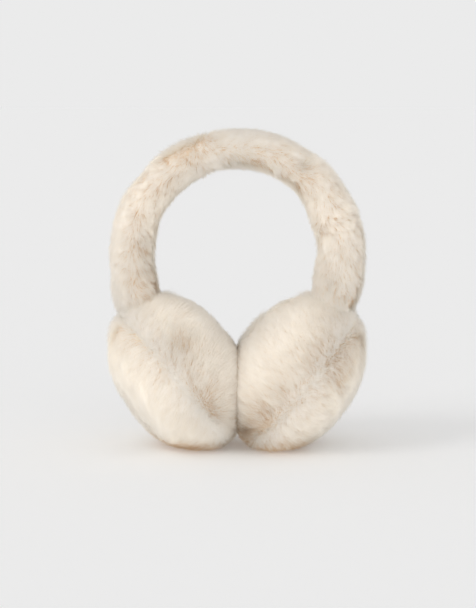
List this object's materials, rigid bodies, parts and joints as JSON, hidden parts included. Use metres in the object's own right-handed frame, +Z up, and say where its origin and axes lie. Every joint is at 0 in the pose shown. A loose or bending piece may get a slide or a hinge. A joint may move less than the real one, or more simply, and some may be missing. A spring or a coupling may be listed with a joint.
{
  "type": "fur earmuffs",
  "caption": "Faux-fur earmuffs standing on a table: a fur sleeve over a curved headband carries plush round ear pads that press together at the bottom.",
  "frame": {"origin": "on the table, midway between the pads and midway front to back", "axes": "+Z up to the crown of the headband, -X and +X towards the wearer's ears, -Y the front that the picture shows"},
  "size_m": [0.1889, 0.1221, 0.224],
  "materials": {
    "band_fur": "soft faux-fur pile",
    "outer_cover_fur": "soft faux-fur pile",
    "inner_cover_fur": "soft faux-fur pile"
  },
  "bodies": {
    "root": {"band_sleeve": "band_fur", "left_pad_outer_cover": "outer_cover_fur", "left_pad_inner_cover": "inner_cover_fur", "right_pad_outer_cover": "outer_cover_fur", "right_pad_inner_cover": "inner_cover_fur"}
  },
  "joints": []
}
